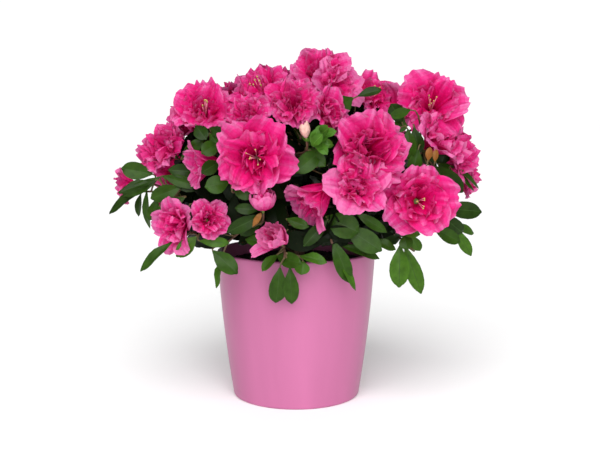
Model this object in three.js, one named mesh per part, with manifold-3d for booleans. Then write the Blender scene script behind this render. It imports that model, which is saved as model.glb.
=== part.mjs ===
// Double-flowered azalea in a tapered glazed pot.
// Millimetres, +Z up, the front of the plant faces -Y, the origin is the middle of the pot's underside.
import * as THREE from "three";
import { mergeVertices } from "three/addons/utils/BufferGeometryUtils.js";
import Module from "manifold-3d";

const wasm = await Module();
wasm.setup();

// Clearance between pieces that meet or stand beside each other.
const CLEARANCE = 0.3;

// Pot and soil.
const POT_HEIGHT = 130;
const POT_TOP_RADIUS = 70;
const POT_FOOT_RADIUS = 56;
const POT_BELLY = 1.8;
const POT_WALL = 4.5;
const POT_FLOOR = 6;
const POT_SIDES = 36;
const FOOT_ROUNDING = 2;
const RIM_ROUNDING = 1.5;
const SOIL_BELOW_RIM = 12;
const SOIL_MOUND = 3;

// Trunk: a short stem with a root flare, from the soil to its fork.
const SOIL_TOP = POT_HEIGHT - SOIL_BELOW_RIM + SOIL_MOUND;
const TRUNK_FOOT = SOIL_TOP + CLEARANCE;
const TRUNK_HEIGHT = 32;
const TRUNK_RADIUS = 7;
const TRUNK_TIP_RADIUS = 5;
const ROOT_FLARE = 1.7;
const TRUNK_LEAN = 3;
const TRUNK_SIDES = 10;

// Crown: the dome that the blossom lies on, round the crown's middle.
const CROWN_MIDDLE = new THREE.Vector3(0, 0, 165);
const CROWN_HALF = new THREE.Vector3(126, 122, 118);
const BOUGH_END = 0.4;
const STEM_END = 0.66;
const BOUGH_RADIUS = 2.4;
const BOUGH_TIP_RADIUS = 1.7;
const BOUGH_SIDES = 6;
const BOUGH_STEPS = 4;
const TWIG_RADIUS = 1.3;
const TWIG_TIP_RADIUS = 0.9;
const TWIG_STEPS = 3;
const KNOB_RADIUS = 1.4;

// Masses: a low ring, a high ring and the top, as counts and lifts above the crown's middle.
const LOW_MASSES = 6;
const LOW_LIFT = -3;
const HIGH_MASSES = 5;
const HIGH_LIFT = 43;

// Leaves and blossom.
const LEAF_LENGTH = 38;
const LEAF_WIDTH = 0.46;
const LEAF_DROOP = 0.08;
const LEAF_ROLL = 0.5;
const LEAF_STEP = 3.2;
const OPENING = { bloom: 86, bud: 74, leaves: 76 };
const OPENING_STEP = 26;
const OPENING_SPREAD = 22;
const WHORLS = { bloom: 1, bud: 1, leaves: 2 };
const BLOOM_SIDES = 12;
const BLOOM_DEPTH = 0.56;
const BUD_SIDES = 6;
const BUD_LIMIT = 28;
const GOLDEN_TURN = 137.508;

// The shares of its size that a blossom or leaf is tried at where it has no room.
const SMALLER = [1, 0.86, 0.74, 0.62];

// Shoots that fill the crown by rule: the outer layer and the leaves inside it.
const OUTER_SHOOTS = 84;
const INNER_SHOOTS = 22;
const LOWEST_LIFT = -16;
const OUTER_SPACING = 15.5;
const INNER_DEPTH = 0.7;
const FRONT_HALF = 84;
const BLOOM_SHARE = 0.7;
const LOWEST_BLOOM = -6;

// Blossom as it stands on the plant's front, the boldest first, and the leafy shoots that reach out of it.
// The first three numbers are the place of the blossom's middle or of the shoot's tip. The last two are
// the degrees it faces: turn 0 is the front, 90 the right, and lift 90 is straight up.
const FRONT_BLOOMS = [
  bloom(-32, -100, 219, 56, -4, 6),
  bloom(60, -85, 223, 59, 12, 12),
  bloom(119, -6, 259, 58, 2, 28),
  bloom(101, -75, 182, 54, 4, 8),
  bloom(-76, -40, 256, 52, 4, 42),
  bloom(-115, -32, 222, 46, -44, 28),
  bloom(19, 0, 286, 48, -20, 40),
  bloom(49, -96, 196, 41, 6, 28),
  bloom(19, -88, 188, 36, -56, -34),
  bloom(-98, -72, 161, 36, -42, 0),
  bloom(-70, -80, 167, 30, 20, 12),
  bloom(144, -8, 213, 44, 60, 4),
  bloom(34, -14, 274, 40, 38, 26),
  bloom(-32, -24, 273, 48, -28, 50),
  bloom(-2, -52, 261, 40, 12, 34),
  bloom(-40, -62, 250, 36, -34, 34),
  bloom(27, -58, 252, 35, 50, 14),
  bloom(123, -24, 229, 40, 60, 36),
  bloom(68, 25, 267, 40, 30, 36),
  bloom(94, 32, 258, 38, 130, 50),
  bloom(152, 12, 193, 34, 80, -4),
  bloom(-102, -2, 243, 42, -90, 10),
  bloom(-150, -2, 186, 30, -90, -8),
  bloom(-70, -70, 212, 29, -70, -6),
];
const FRONT_BUDS = [
  bloom(-14, -100, 153, 22, -24, 30),
  bloom(-26, -97, 182, 18, -6, 74),
  bloom(8, -95, 236, 11, -16, 66),
];
const FRONT_LEAVES = [
  leaves(-136, -30, 184, -84, -4),
  leaves(-114, -46, 170, -76, -50),
  leaves(-98, -70, 150, -46, -14),
  leaves(-56, -72, 147, -30, -20),
  leaves(-9, -92, 138, -2, -24),
  leaves(29, -94, 150, 8, -20),
  leaves(56, -84, 150, 34, -8),
  leaves(99, -54, 137, 34, -26),
  leaves(132, -46, 166, 50, -20),
  leaves(134, -12, 190, 96, 4),
  leaves(40, -34, 250, 24, 8),
  leaves(-60, -60, 225, -46, 26),
  leaves(11, -80, 213, 2, 30),
  leaves(-51, -84, 190, -20, 8),
];

const COLOURS = { pot: "#d9739f", soil: "#2b1f1a", wood: "#5f4434", foliage: "#3d5928" };

function bloom(x, y, z, size, faceTurn, faceLift) {
  const kind = size > BUD_LIMIT ? "bloom" : "bud";
  return { kind, place: new THREE.Vector3(x, y, z), size, facing: heading(faceTurn, faceLift) };
}

function leaves(x, y, z, faceTurn, faceLift) {
  const place = new THREE.Vector3(x, y, z);
  return { kind: "leaves", place, size: 0, facing: heading(faceTurn, faceLift) };
}

// Even random numbers from 0 to 1 that a seed repeats.
function seeded(seed) {
  let state = (seed * 2654435761) % 4294967296;
  const next = () => {
    state = (state * 1664525 + 1013904223) % 4294967296;
    return state / 4294967296;
  };
  next();
  next();
  return next;
}

// The unit vector that a turn and a lift in degrees name.
function heading(turn, lift) {
  const across = THREE.MathUtils.degToRad(turn);
  const up = THREE.MathUtils.degToRad(lift);
  return new THREE.Vector3(Math.cos(up) * Math.sin(across), -Math.cos(up) * Math.cos(across), Math.sin(up));
}

// How far the dome lies from the crown's middle along a unit vector.
function domeReach(direction) {
  return 1 / direction.clone().divide(CROWN_HALF).length();
}

// The unit vector from the crown's middle to a shoot.
function directionOf(shoot) {
  return shoot.place.clone().sub(CROWN_MIDDLE).normalize();
}

// Shoots of one layer, from the top down in golden turns, that keep their spacing to those already there.
function layer(count, spacing, taken, makeShoot) {
  const lowest = Math.sin(THREE.MathUtils.degToRad(LOWEST_LIFT));
  const added = [];
  for (let k = 0; k < count; k++) {
    const lift = THREE.MathUtils.radToDeg(Math.asin(1 - (k + 0.5) / count * (1 - lowest)));
    const turn = (k * GOLDEN_TURN) % 360 - 180;
    const direction = heading(turn, lift);
    const near = [...taken, ...added].some((shoot) => {
      return THREE.MathUtils.radToDeg(direction.angleTo(directionOf(shoot))) < spacing;
    });
    if (!near) added.push(makeShoot(turn, lift, direction, seeded(k + count)));
  }
  return added;
}

// An outer shoot: leaves between the blossom of the front and low down, blossom and leaves elsewhere.
function outerShoot(turn, lift, direction, random) {
  const faceTurn = turn + 40 * (random() - 0.5);
  const faceLift = Math.min(lift * 0.8 + 8 + 30 * (random() - 0.5), 84);
  if (Math.abs(turn) > FRONT_HALF && lift > LOWEST_BLOOM && random() < BLOOM_SHARE) {
    const { x, y, z } = insideDome(direction, 0.95 + 0.1 * random());
    return bloom(x, y, z, 38 + 18 * random(), faceTurn, faceLift);
  }
  const { x, y, z } = insideDome(direction, 0.82 + 0.14 * random());
  return leaves(x, y, z, faceTurn, faceLift);
}

function innerShoot(turn, lift, direction, random) {
  const { x, y, z } = insideDome(direction, INNER_DEPTH);
  return leaves(x, y, z, turn + 60 * (random() - 0.5), lift + 10);
}

// Every shoot, with its number, its base and its own random numbers.
function crownShoots() {
  const front = [...FRONT_BLOOMS, ...FRONT_BUDS, ...FRONT_LEAVES];
  const outer = [...front, ...layer(OUTER_SHOOTS, OUTER_SPACING, front, outerShoot)];
  const all = [...outer, ...layer(INNER_SHOOTS, 0, [], innerShoot)];
  return all.map((shoot, number) => {
    const base = shoot.place.clone().addScaledVector(shoot.facing, -0.7 * BLOOM_DEPTH * shoot.size);
    const random = seeded(number + 1);
    const phase = 2 * Math.PI * random();
    return { ...shoot, number, base, random, phase, whorls: WHORLS[shoot.kind] };
  });
}

// The masses: the way each one lies from the crown's middle, and how far up the trunk its bough forks.
function crownMasses() {
  const ring = (name, count, lift, fork, rise) => Array.from({ length: count }, (_, k) => {
    const turn = 180 / count - 180 + k * 360 / count;
    return { name: `${name}_${k + 1}`, direction: heading(turn, lift), fork: fork + k * rise };
  });
  return [
    ...ring("low", LOW_MASSES, LOW_LIFT, 0.14, 0.05),
    ...ring("high", HIGH_MASSES, HIGH_LIFT, 0.5, 0.07),
    { name: "top", direction: heading(0, 90), fork: 1 },
  ];
}

// A point between the crown's middle and the dome.
function insideDome(direction, share) {
  return direction.clone().multiplyScalar(share * domeReach(direction)).add(CROWN_MIDDLE);
}

// A solid with a closed skin: an end point, rings and another end point. A ring may have several times as
// many points as the one before it. A blade replaces one side between two rings with a leaf.
function skin(start, rings, end, blades = []) {
  const points = [start];
  const firsts = rings.map((ring) => points.push(...ring) - ring.length);
  const at = (ring, side) => firsts[ring] + side % rings[ring].length;
  const last = points.push(end) - 1;
  const triangles = [];
  for (let side = 0; side < rings[0].length; side++) triangles.push(0, at(0, side + 1), at(0, side));
  for (let ring = 0; ring + 1 < rings.length; ring++) {
    const each = rings[ring + 1].length / rings[ring].length;
    for (let side = 0; side < rings[ring].length; side++) {
      const blade = blades.find((one) => one.ring === ring && one.side === side);
      const corners = [at(ring, side), at(ring, side + 1), at(ring + 1, side + 1), at(ring + 1, side)];
      if (blade) {
        triangles.push(...bladeTriangles(corners, points.push(...blade.outline) - 3));
        continue;
      }
      triangles.push(corners[0], corners[1], at(ring + 1, (side + 1) * each));
      for (let k = side * each; k < (side + 1) * each; k++) {
        triangles.push(corners[0], at(ring + 1, k + 1), at(ring + 1, k));
      }
    }
  }
  const top = rings.length - 1;
  for (let side = 0; side < rings[top].length; side++) {
    triangles.push(last, at(top, side), at(top, side + 1));
  }
  return solidOf(points, triangles);
}

// The eight faces of a leaf on the four corners of its root: three above, three below and one at each edge.
function bladeTriangles([lowLeft, lowRight, highRight, highLeft], left) {
  const right = left + 1;
  const tip = left + 2;
  const above = [highLeft, left, right, highLeft, right, highRight, left, tip, right];
  const below = [lowLeft, lowRight, tip, lowRight, right, tip, lowLeft, tip, left];
  return [...above, ...below, lowLeft, left, highLeft, lowRight, highRight, right];
}

function solidOf(points, triangles) {
  const mesh = new wasm.Mesh({
    numProp: 3,
    vertProperties: new Float32Array(points.flatMap((point) => point.toArray())),
    triVerts: new Uint32Array(triangles),
  });
  return new wasm.Manifold(mesh);
}

// Two unit vectors square to an axis and to each other, in right-handed order with it.
function squareTo(axis) {
  const helper = Math.abs(axis.z) < 0.9 ? new THREE.Vector3(0, 0, 1) : new THREE.Vector3(1, 0, 0);
  const side = new THREE.Vector3().crossVectors(helper, axis).normalize();
  return { side, up: new THREE.Vector3().crossVectors(axis, side) };
}

// A point off a centre by a reach at an angle between two square directions.
function around(centre, side, up, angle, reach) {
  const point = centre.clone().addScaledVector(side, reach * Math.cos(angle));
  return point.addScaledVector(up, reach * Math.sin(angle));
}

function ringOf(centre, side, up, radius, sides, turn = 0) {
  return Array.from({ length: sides }, (_, k) => {
    return around(centre, side, up, turn + 2 * Math.PI * k / sides, radius);
  });
}

// The rings of a limb along a curve, none of them twisted against the one at the curve's end.
function limbRings(path, radiusAt, sides, steps) {
  const rings = [];
  let { side } = squareTo(path.getTangent(1));
  for (let step = steps; step >= 0; step--) {
    const share = step / steps;
    const ahead = path.getTangent(share);
    side = side.clone().projectOnPlane(ahead).normalize();
    const up = new THREE.Vector3().crossVectors(ahead, side);
    rings.unshift(ringOf(path.getPoint(share), side, up, radiusAt(share), sides));
  }
  return rings;
}

function limb(path, radiusAt, sides, steps) {
  return skin(path.getPoint(0), limbRings(path, radiusAt, sides, steps), path.getPoint(1));
}

function taper(from, to) {
  return (share) => THREE.MathUtils.lerp(from, to, share);
}

// The curve that leaves one point along a direction and reaches another along its own.
function bend(from, leaving, to, arriving) {
  const pull = from.distanceTo(to) / 3;
  const first = from.clone().addScaledVector(leaving, pull);
  const second = to.clone().addScaledVector(arriving, -pull);
  return new THREE.CubicBezierCurve3(from, first, second, to);
}

// The rings of a double blossom: a ruffled outer bowl of five lobes with a narrower tier standing in it.
function bloomRings(shoot, share) {
  const { side, up } = squareTo(shoot.facing);
  const rows = [
    { out: 0.3, rise: 0.3, lobe: 0, ruffle: 0 },
    { out: 1, rise: 0.66, lobe: 0.1, ruffle: 0.07 },
    { out: 0.6, rise: 0.6, lobe: 0.04, ruffle: 0.02 },
    { out: 0.44, rise: 0.97, lobe: -0.06, ruffle: -0.06 },
  ];
  const size = share * shoot.size;
  return rows.map(({ out, rise, lobe, ruffle }) => Array.from({ length: BLOOM_SIDES }, (_, k) => {
    const angle = 2 * Math.PI * k / BLOOM_SIDES;
    const wave = k % 2 ? ruffle : -ruffle;
    const centre = shoot.base.clone().addScaledVector(shoot.facing, BLOOM_DEPTH * size * (rise + wave));
    return around(centre, side, up, angle, size / 2 * (out + lobe * Math.cos(5 * angle + shoot.phase)));
  }));
}

// The rings of a bud, widest past its middle.
function budRings(shoot, share) {
  const { side, up } = squareTo(shoot.facing);
  const size = share * shoot.size;
  return [[0.15, 0.22], [0.65, 0.46], [1.05, 0.26]].map(([rise, out]) => {
    const centre = shoot.base.clone().addScaledVector(shoot.facing, rise * size);
    return ringOf(centre, side, up, out * size, BUD_SIDES);
  });
}

// What a shoot ends in: a blossom's throat, a bud's tip or the blunt end of the twig.
function headOf(shoot, share) {
  const rings = { bloom: bloomRings, bud: budRings, leaves: () => [] }[shoot.kind](shoot, share);
  const depth = { bloom: 0.5 * BLOOM_DEPTH, bud: 1.15, leaves: 0 }[shoot.kind] * share * shoot.size;
  return { rings, end: shoot.base.clone().addScaledVector(shoot.facing, depth + 0.5) };
}

// The twig of a shoot: its bent stretch from the mass's stem, then the straight one that carries whorls of
// three leaves. Every second whorl stands between the leaves of the one below it.
function twigRings(shoot) {
  const { side, up } = squareTo(shoot.facing);
  const rings = limbRings(shoot.path, taper(TWIG_RADIUS, TWIG_TIP_RADIUS), 3, TWIG_STEPS);
  const foot = shoot.path.getPoint(1);
  for (let whorl = 0; whorl < shoot.whorls; whorl++) {
    for (const rise of [LEAF_STEP / 2, LEAF_STEP]) {
      const centre = foot.clone().addScaledVector(shoot.facing, whorl * LEAF_STEP + rise);
      rings.push(ringOf(centre, side, up, KNOB_RADIUS, 3, -whorl * Math.PI / 3));
    }
  }
  return rings;
}

// The leaves that a shoot's twig may carry, each with its place in the twig's rings and its outline.
function leavesOf(shoot, rings) {
  const { side, up } = squareTo(shoot.facing);
  const found = [];
  for (let k = 0; k < 3 * shoot.whorls; k++) {
    const whorl = Math.floor(k / 3);
    const ring = TWIG_STEPS + 1 + 2 * whorl;
    const angle = 2 * Math.PI * (k % 3 + 0.5) / 3 - whorl * Math.PI / 3;
    const outward = around(new THREE.Vector3(), side, up, angle, 1);
    const opening = OPENING[shoot.kind] - whorl * OPENING_STEP + OPENING_SPREAD * (shoot.random() - 0.5);
    const spread = THREE.MathUtils.degToRad(opening);
    const direction = shoot.facing.clone().multiplyScalar(Math.cos(spread));
    direction.addScaledVector(outward, Math.sin(spread));
    const level = new THREE.Vector3().crossVectors(shoot.facing, outward);
    const across = level.applyAxisAngle(direction, LEAF_ROLL * (shoot.random() - 0.5));
    const upper = new THREE.Vector3().crossVectors(direction, across);
    const length = LEAF_LENGTH * (0.8 + 0.4 * shoot.random());
    const [left, right] = [k % 3, (k + 1) % 3];
    const root = [rings[ring][left], rings[ring][right], rings[ring + 1][right], rings[ring + 1][left]];
    found.push({ ring, side: k % 3, root, direction, across, upper, length });
  }
  return found;
}

// A leaf at a share of its length: the points at its left, its right and its tip.
function outlineOf({ root, direction, across, upper, length }, share) {
  const middle = root.reduce((sum, corner) => sum.addScaledVector(corner, 0.25), new THREE.Vector3());
  const long = share * length;
  const at = (along, aside, above) => {
    const point = middle.clone().addScaledVector(direction, along * long);
    return point.addScaledVector(across, aside * long).addScaledVector(upper, above * long);
  };
  return [at(0.6, -LEAF_WIDTH / 2, 0), at(0.6, LEAF_WIDTH / 2, 0), at(1, 0, -LEAF_DROOP)];
}

function leafSolid(leaf, outline) {
  return solidOf([...leaf.root, ...outline], [...bladeTriangles([0, 1, 2, 3], 4), 0, 3, 2, 0, 2, 1]);
}

// Whether a piece comes nearer than the clearance to another one.
function touches(piece, other) {
  const apart = [0, 1, 2].some((axis) => {
    const before = other.box.min[axis] - piece.box.max[axis];
    const after = piece.box.min[axis] - other.box.max[axis];
    return Math.max(before, after) > CLEARANCE;
  });
  return !apart && piece.solid.minGap(other.solid, 2 * CLEARANCE) < CLEARANCE;
}

// A closed three.js geometry as a solid, its shared vertices merged and its collapsed triangles dropped.
function solidFrom(geometry) {
  geometry.deleteAttribute("normal");
  geometry.deleteAttribute("uv");
  const merged = mergeVertices(geometry);
  const corners = merged.index.array;
  const triangles = [];
  for (let k = 0; k < corners.length; k += 3) {
    const [a, b, c] = corners.slice(k, k + 3);
    if (a !== b && b !== c && c !== a) triangles.push(a, b, c);
  }
  return new wasm.Manifold(new wasm.Mesh({
    numProp: 3,
    vertProperties: merged.attributes.position.array,
    triVerts: new Uint32Array(triangles),
  }));
}

// A turned solid from a profile of radius and height.
function turned(profile) {
  const points = profile.map(([radius, height]) => new THREE.Vector2(radius, height));
  return solidFrom(new THREE.LatheGeometry(points, POT_SIDES).rotateX(Math.PI / 2));
}

// Points of a quarter round in a profile, from one angle in degrees to another.
function quarter(radius, height, rounding, from, to) {
  return [0, 0.5, 1].map((share) => {
    const angle = THREE.MathUtils.degToRad(THREE.MathUtils.lerp(from, to, share));
    return [radius + rounding * Math.cos(angle), height + rounding * Math.sin(angle)];
  });
}

// The pot's outer radius at a height: a taper with a slight belly.
function potRadius(height) {
  const share = height / POT_HEIGHT;
  return THREE.MathUtils.lerp(POT_FOOT_RADIUS, POT_TOP_RADIUS, share) + 4 * POT_BELLY * share * (1 - share);
}

// Points of the pot's side at some shares of its height, each the given distance inside the outer face.
function potSide(shares, inward) {
  return shares.map((share) => [potRadius(share * POT_HEIGHT) - inward, share * POT_HEIGHT]);
}

function potSolid() {
  const rim = POT_HEIGHT - RIM_ROUNDING;
  return turned([
    [0, 0],
    ...quarter(potRadius(FOOT_ROUNDING) - FOOT_ROUNDING, FOOT_ROUNDING, FOOT_ROUNDING, -90, 0),
    ...potSide([0.25, 0.5, 0.75], 0),
    ...quarter(potRadius(rim) - RIM_ROUNDING, rim, RIM_ROUNDING, 0, 90),
    ...quarter(potRadius(rim) - POT_WALL + RIM_ROUNDING, rim, RIM_ROUNDING, 90, 180),
    ...potSide([0.75, 0.5, 0.25], POT_WALL),
    [potRadius(POT_FLOOR) - POT_WALL, POT_FLOOR],
    [0, POT_FLOOR],
  ]);
}

function soilSolid() {
  const inward = POT_WALL + 2 * CLEARANCE;
  const inside = (height) => potRadius(height) - inward;
  const bottom = POT_FLOOR + CLEARANCE;
  const edge = POT_HEIGHT - SOIL_BELOW_RIM;
  return turned([
    [0, bottom],
    [inside(bottom), bottom],
    ...potSide([0.25, 0.5, 0.75], inward),
    [inside(edge), edge],
    [0.6 * inside(edge), edge + 0.8 * SOIL_MOUND],
    [2.5 * TRUNK_RADIUS, SOIL_TOP],
    [0, SOIL_TOP],
  ]);
}

function trunkPath() {
  const foot = new THREE.Vector3(0, 0, TRUNK_FOOT);
  const middle = new THREE.Vector3(0, 0, TRUNK_FOOT + TRUNK_HEIGHT / 2);
  const tip = new THREE.Vector3(TRUNK_LEAN, 0, TRUNK_FOOT + TRUNK_HEIGHT);
  return new THREE.QuadraticBezierCurve3(foot, middle, tip);
}

// The trunk's radius, or that of the same trunk with a gap round it.
function trunkSolid(gap) {
  const radiusAt = (share) => {
    const flare = 1 + (ROOT_FLARE - 1) * Math.exp(-9 * share);
    return THREE.MathUtils.lerp(TRUNK_RADIUS, TRUNK_TIP_RADIUS, share) * flare + gap;
  };
  return limb(trunkPath(), radiusAt, TRUNK_SIDES, 6);
}

// The bough of a mass, from the trunk's side or its tip to where it enters the mass.
function boughPath(mass) {
  const path = trunkPath();
  const end = insideDome(mass.direction, BOUGH_END);
  const start = path.getPoint(mass.fork);
  const leaving = end.clone().sub(start);
  leaving.z *= mass.fork < 1 ? 0.4 : 1;
  return bend(start, leaving.normalize(), end, mass.direction);
}

// The stem inside a mass, which goes on from the bough's tip.
function stemPath(mass) {
  const from = insideDome(mass.direction, BOUGH_END).addScaledVector(mass.direction, CLEARANCE + 0.05);
  const to = insideDome(mass.direction, STEM_END);
  return bend(from, mass.direction, to, mass.direction);
}

function nearestMass(masses, shoot) {
  const angle = (mass) => mass.direction.angleTo(directionOf(shoot));
  return masses.reduce((best, mass) => angle(mass) < angle(best) ? mass : best);
}

// The shoots of a mass, the widest from its stem first, each with its twig's curve from the stem.
function shootsOf(mass, shoots) {
  const angle = (shoot) => mass.direction.angleTo(directionOf(shoot));
  const own = shoots.filter((shoot) => shoot.mass === mass).sort((a, b) => angle(b) - angle(a));
  const stem = stemPath(mass);
  return own.map((shoot, k) => {
    const root = stem.getPoint(0.1 + 0.85 * k / own.length);
    const foot = shoot.base.clone().addScaledVector(shoot.facing, -shoot.whorls * LEAF_STEP);
    const leaving = foot.clone().sub(root).normalize().add(mass.direction).normalize();
    return { ...shoot, path: bend(root, leaving, foot, shoot.facing) };
  });
}

// The foliage masses as solids. Twigs come first, then blossom and leaves. A piece stays clear of the
// limbs, the pot, the other masses and what other shoots carry: it is made smaller or left out.
function foliage(masses, limbs) {
  const placed = [];
  const put = (solid, mass, owner) => {
    const piece = { solid, mass, owner, box: solid.boundingBox() };
    const blocked = placed.some((other) => {
      const joined = other.mass === mass && (!other.owner || !owner || other.owner === owner);
      return !joined && touches(piece, other);
    });
    if (!blocked) placed.push(piece);
    return !blocked;
  };
  limbs.forEach((solid) => put(solid, null, null));
  const stems = masses.map((mass) => limb(stemPath(mass), taper(BOUGH_TIP_RADIUS, TWIG_RADIUS), 5, 2));
  masses.forEach((mass, k) => put(stems[k], mass, null));
  const all = crownShoots().map((shoot) => ({ ...shoot, mass: nearestMass(masses, shoot) }));
  const grown = masses.flatMap((mass) => shootsOf(mass, all)).filter((shoot) => {
    shoot.rings = twigRings(shoot);
    return put(skin(shoot.path.getPoint(0), shoot.rings, shoot.base), shoot.mass, null);
  });
  grown.sort((a, b) => a.number - b.number);
  for (const shoot of grown.filter(({ kind }) => kind !== "leaves")) {
    shoot.share = SMALLER.find((share) => {
      const { rings, end } = headOf(shoot, share);
      return put(skin(shoot.base, rings, end), shoot.mass, shoot);
    });
  }
  for (const shoot of grown) {
    shoot.blades = leavesOf(shoot, shoot.rings).flatMap((leaf) => {
      const outlines = SMALLER.map((share) => outlineOf(leaf, share));
      const outline = outlines.find((one) => put(leafSolid(leaf, one), shoot.mass, shoot));
      return outline ? [{ ...leaf, outline }] : [];
    });
  }
  return masses.map((mass, k) => {
    const solids = grown.filter((shoot) => shoot.mass === mass).map((shoot) => {
      const head = shoot.share ? headOf(shoot, shoot.share) : { rings: [], end: shoot.base };
      return skin(shoot.path.getPoint(0), [...shoot.rings, ...head.rings], head.end, shoot.blades);
    });
    return wasm.Manifold.union([stems[k], ...solids]);
  });
}

// A mesh from a solid: its largest body, as one closed surface.
function meshOf(name, solid, colour, roughness) {
  const bodies = solid.decompose();
  const body = bodies.reduce((best, one) => one.volume() > best.volume() ? one : best);
  const { vertProperties, triVerts } = body.getMesh();
  const geometry = new THREE.BufferGeometry();
  geometry.setAttribute("position", new THREE.BufferAttribute(new Float32Array(vertProperties), 3));
  geometry.setIndex(new THREE.BufferAttribute(new Uint32Array(triVerts), 1));
  geometry.computeVertexNormals();
  const mesh = new THREE.Mesh(geometry, new THREE.MeshStandardMaterial({ color: colour, roughness }));
  mesh.name = name;
  return mesh;
}

function plant() {
  const group = new THREE.Group();
  const pot = potSolid();
  const soil = soilSolid();
  const trunk = trunkSolid(0);
  const masses = crownMasses();
  const round = trunkSolid(CLEARANCE);
  const boughs = masses.map((mass) => {
    const radiusAt = taper(BOUGH_RADIUS, BOUGH_TIP_RADIUS);
    return limb(boughPath(mass), radiusAt, BOUGH_SIDES, BOUGH_STEPS).subtract(round);
  });
  group.add(meshOf("pot", pot, COLOURS.pot, 0.15));
  group.add(meshOf("soil", soil, COLOURS.soil, 0.95));
  group.add(meshOf("trunk", trunk, COLOURS.wood, 0.85));
  boughs.forEach((bough, k) => {
    group.add(meshOf(`bough_${masses[k].name}`, bough, COLOURS.wood, 0.85));
  });
  foliage(masses, [pot, soil, trunk, ...boughs]).forEach((solid, k) => {
    group.add(meshOf(`foliage_${masses[k].name}`, solid, COLOURS.foliage, 0.5));
  });
  return group;
}

export default plant();
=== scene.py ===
from math import acos, asin, cos, degrees, exp, pi, radians, sin, sqrt

import bpy
import numpy as np
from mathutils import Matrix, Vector, noise


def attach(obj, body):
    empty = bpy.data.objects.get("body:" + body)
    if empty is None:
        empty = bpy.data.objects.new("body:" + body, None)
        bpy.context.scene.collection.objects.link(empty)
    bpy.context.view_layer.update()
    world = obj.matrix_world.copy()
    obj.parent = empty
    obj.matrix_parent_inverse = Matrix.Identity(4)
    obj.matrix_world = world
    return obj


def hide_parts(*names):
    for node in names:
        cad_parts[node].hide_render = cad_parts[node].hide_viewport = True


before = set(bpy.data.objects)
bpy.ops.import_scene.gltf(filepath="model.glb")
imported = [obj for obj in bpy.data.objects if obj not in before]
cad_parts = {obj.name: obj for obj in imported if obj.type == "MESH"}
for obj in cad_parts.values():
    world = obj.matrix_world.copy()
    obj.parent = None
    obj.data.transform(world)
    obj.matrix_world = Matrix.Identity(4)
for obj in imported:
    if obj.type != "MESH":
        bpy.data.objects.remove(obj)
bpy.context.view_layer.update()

# The plant is worked out in millimetres by the rule of its solids, and then carried further, to petals,
# stamens, side twigs and leaf blades. The front faces -Y and Z is up. Meshes are made in metres.
MM = 0.001

# Pot and soil.
POT_HEIGHT = 130
POT_TOP_RADIUS = 70
POT_FOOT_RADIUS = 56
POT_BELLY = 1.8
POT_WALL = 4.5
POT_FLOOR = 6
FOOT_ROUNDING = 2
RIM_ROUNDING = 1.5
CORNER_ROUNDING = 4
ROUNDING_STEPS = 6
POT_SIDES = 144
SOIL_BELOW_RIM = 12
SOIL_MOUND = 3
SOIL_GAP = 0.6
SOIL_SIDES = 120
SOIL_ROUGHNESS = 2.2
SOIL_HIGHEST_BUMP = 2
CRUMBS = 420

# Trunk and boughs.
CLEARANCE = 0.3
TRUNK_FOOT = POT_HEIGHT - SOIL_BELOW_RIM + SOIL_MOUND + CLEARANCE
TRUNK_HEIGHT = 32
TRUNK_RADIUS = 7
TRUNK_TIP_RADIUS = 5
ROOT_FLARE = 1.7
TRUNK_LEAN = 3
BOUGH_RADIUS = 2.4
BOUGH_TIP_RADIUS = 1.7

# Bark of a limb: its sides, its steps and the height of its ridges as a share of its radius.
TRUNK_BARK = (40, 40, 0.16)
BOUGH_BARK = (16, 24, 0.14)

# Crown: the dome that the blossom lies on, and the shares of it where boughs and stems end.
CROWN_MIDDLE = np.array([0, 0, 165])
CROWN_HALF = np.array([126, 122, 118])
BOUGH_END = 0.4
STEM_END = 0.66
TWIG_RADIUS = 1.3
TWIG_TIP_RADIUS = 0.9
KNOB_RADIUS = 1.4

# Groups of masses: the number of masses, the degrees that they look up, and where on the trunk the first
# one's bough forks off and how much higher each next one does, as shares of its height.
GROUPS = {"low": (6, -3, 0.14, 0.05), "high": (5, 43, 0.5, 0.07), "top": (1, 90, 1, 0)}

# Leaves and blossom of the rule.
LEAF_LENGTH = 38
LEAF_WIDTH = 0.42
LEAF_STEP = 3.2
OPENING = {"bloom": 86, "bud": 74, "leaves": 76}
OPENING_STEP = 26
OPENING_SPREAD = 22
WHORLS = {"bloom": 1, "bud": 1, "leaves": 2}
BLOOM_DEPTH = 0.56
BASE_DEPTH = 0.7 * BLOOM_DEPTH
BUD_LIMIT = 28
GOLDEN_TURN = 137.508
OUTER_SHOOTS = 84
INNER_SHOOTS = 22
LOWEST_LIFT = -16
OUTER_SPACING = 15.5
INNER_DEPTH = 0.7
FRONT_HALF = 84
BLOOM_SHARE = 0.7
LOWEST_BLOOM = -6

# Finer growth that the scene adds: side twigs with a whorl of leaves each, and more leaves in each whorl.
# Its leaves keep to a share of the dome that grows from the front to the back, and above a lowest height.
SIDE_TWIGS = 5
SIDE_LENGTH = 27
SIDE_RADIUS = 0.75
SIDE_TIP_RADIUS = 0.55
SIDE_LEAVES = 5
MORE_LEAVES = 3
YOUNG_TUFTS = ((7, -3, 0), (10, -4, 5), (4, -6, -3))
YOUNG_LEAVES = 4
YOUNG_LENGTH = 15
YOUNG_WIDTH = 8
FRONT_REACH = 0.84
BACK_REACH = 1.02
REACH_DEPTH = 60
FRONT_LOWEST = 142
BACK_LOWEST = 124

# Tones of leaves: the depth in the dome under which whorls get the darkest tint, painted shade of the
# crown's inside, and the shares of the others that get this painted shade and plain green; the rest get
# painted light.
SHADED_DEPTH = 0.84
SHADED_SHARE = 0.3
GREEN_SHARE = 0.4

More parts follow.
